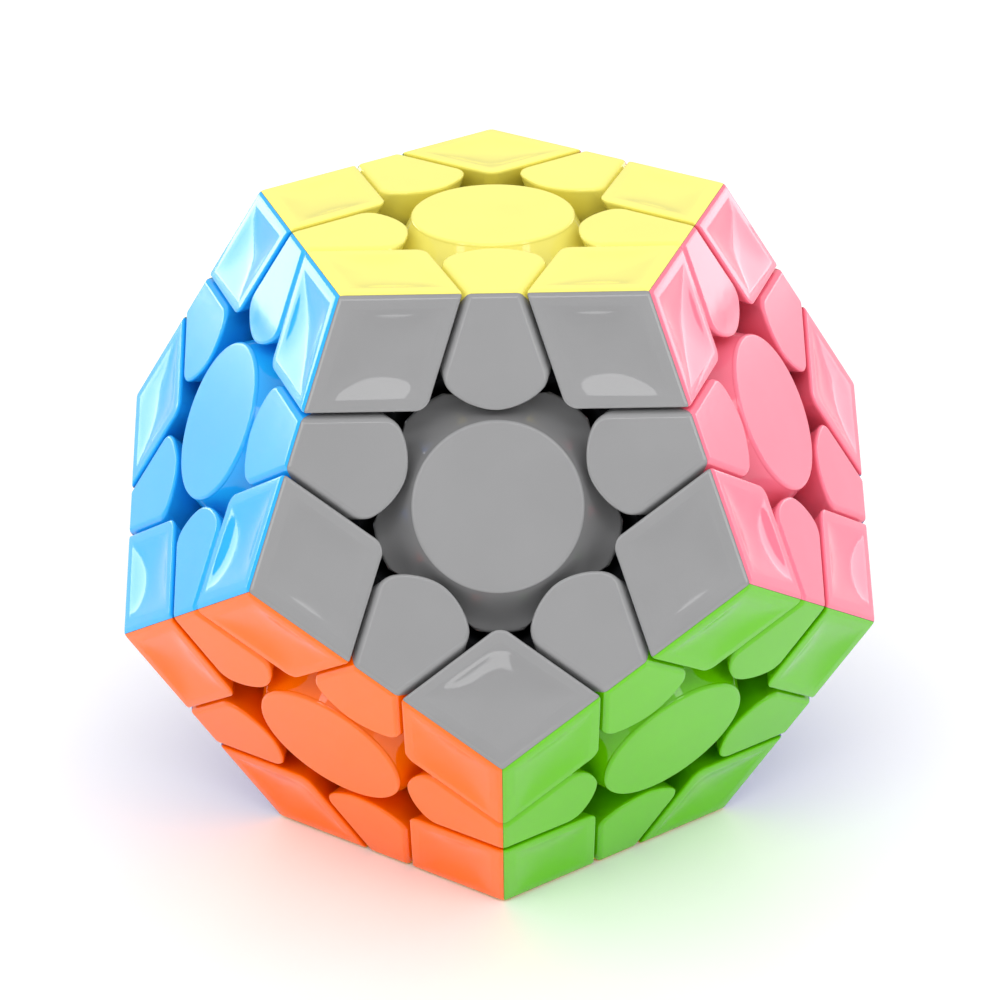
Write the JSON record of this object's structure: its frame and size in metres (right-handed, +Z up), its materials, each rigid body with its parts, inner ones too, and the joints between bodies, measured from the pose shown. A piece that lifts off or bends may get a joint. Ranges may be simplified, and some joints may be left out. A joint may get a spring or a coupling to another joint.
{
  "type": "dodecahedron twisty puzzle",
  "caption": "Twelve-sided turning puzzle of coloured plastic, with one centre, five edge pieces and five corner pieces on each pentagonal face, held on a sprung core.",
  "frame": {"origin": "middle of the pentagonal face that the puzzle stands on", "axes": "+Z up through the middle of the opposite face, +Y to the back, square to a face axis's tilt, and -Y towards the face that the viewer sees"},
  "size_m": [0.0838, 0.088, 0.0713],
  "materials": {
    "plastic_lemon": "gloss",
    "plastic_grey": "gloss",
    "plastic_pink": "gloss",
    "plastic_red": "gloss",
    "plastic_green": "gloss",
    "plastic_sky": "gloss",
    "plastic_orange": "gloss",
    "plastic_lime": "gloss",
    "plastic_blue": "gloss",
    "plastic_white": "gloss",
    "plastic_purple": "gloss",
    "plastic_yellow": "gloss",
    "plastic_core": "satin",
    "steel_screws": "zinc plated",
    "steel_springs": "bright wire",
    "steel_washers": "polished"
  },
  "bodies": {
    "core_frame": {"core": "plastic_core", "screws": "steel_screws", "springs": "steel_springs", "washers": "steel_washers", "centre_lemon": "plastic_lemon", "centre_pink": "plastic_pink", "centre_green": "plastic_green", "centre_sky": "plastic_sky", "centre_orange": "plastic_orange", "centre_lime": "plastic_lime", "centre_blue": "plastic_blue", "centre_white": "plastic_white", "centre_purple": "plastic_purple", "edge_lemon_pink": "plastic_lemon", "edge_lemon_green": "plastic_lemon", "edge_lemon_sky": "plastic_lemon", "edge_pink_lime": "plastic_pink", "edge_pink_blue": "plastic_pink", "edge_green_sky": "plastic_green", "edge_green_white": "plastic_green", "edge_green_purple": "plastic_green", "edge_sky_orange": "plastic_sky", "edge_sky_purple": "plastic_sky", "edge_orange_lime": "plastic_orange", "edge_orange_purple": "plastic_orange", "edge_lime_blue": "plastic_lime", "edge_blue_white": "plastic_blue", "edge_white_purple": "plastic_white", "corner_lemon_green_sky": "plastic_lemon", "corner_pink_lime_blue": "plastic_pink", "corner_green_sky_purple": "plastic_green", "corner_green_white_purple": "plastic_green", "corner_sky_orange_purple": "plastic_sky"},
    "front_layer": {"centre_grey": "plastic_grey", "edge_lemon_grey": "plastic_lemon", "edge_grey_pink": "plastic_grey", "edge_grey_sky": "plastic_grey", "edge_grey_orange": "plastic_grey", "edge_grey_lime": "plastic_grey", "corner_lemon_grey_pink": "plastic_lemon", "corner_lemon_grey_sky": "plastic_lemon", "corner_grey_pink_lime": "plastic_grey", "corner_grey_sky_orange": "plastic_grey", "corner_grey_orange_lime": "plastic_grey"},
    "back_layer": {"centre_red": "plastic_red", "edge_lemon_red": "plastic_lemon", "edge_pink_red": "plastic_pink", "edge_red_green": "plastic_red", "edge_red_blue": "plastic_red", "edge_red_white": "plastic_red", "corner_lemon_pink_red": "plastic_lemon", "corner_lemon_red_green": "plastic_lemon", "corner_pink_red_blue": "plastic_pink", "corner_red_green_white": "plastic_red", "corner_red_blue_white": "plastic_red"},
    "bottom_layer": {"centre_yellow": "plastic_yellow", "bottom_layer_edges": "plastic_yellow", "bottom_layer_corners": "plastic_yellow"}
  },
  "joints": [
    {"name": "front_turn", "type": "hinge", "parent": "core_frame", "child": "front_layer", "pos_m": [0, 0, 0.03563], "axis": [0, -0.8944, 0.4472], "continuous": true},
    {"name": "back_turn", "type": "hinge", "parent": "core_frame", "child": "back_layer", "pos_m": [0, 0, 0.03563], "axis": [0.5257, 0.7236, 0.4472], "continuous": true},
    {"name": "bottom_turn", "type": "hinge", "parent": "core_frame", "child": "bottom_layer", "pos_m": [0, 0, 0.03563], "axis": [0, 0, -1], "continuous": true}
  ]
}
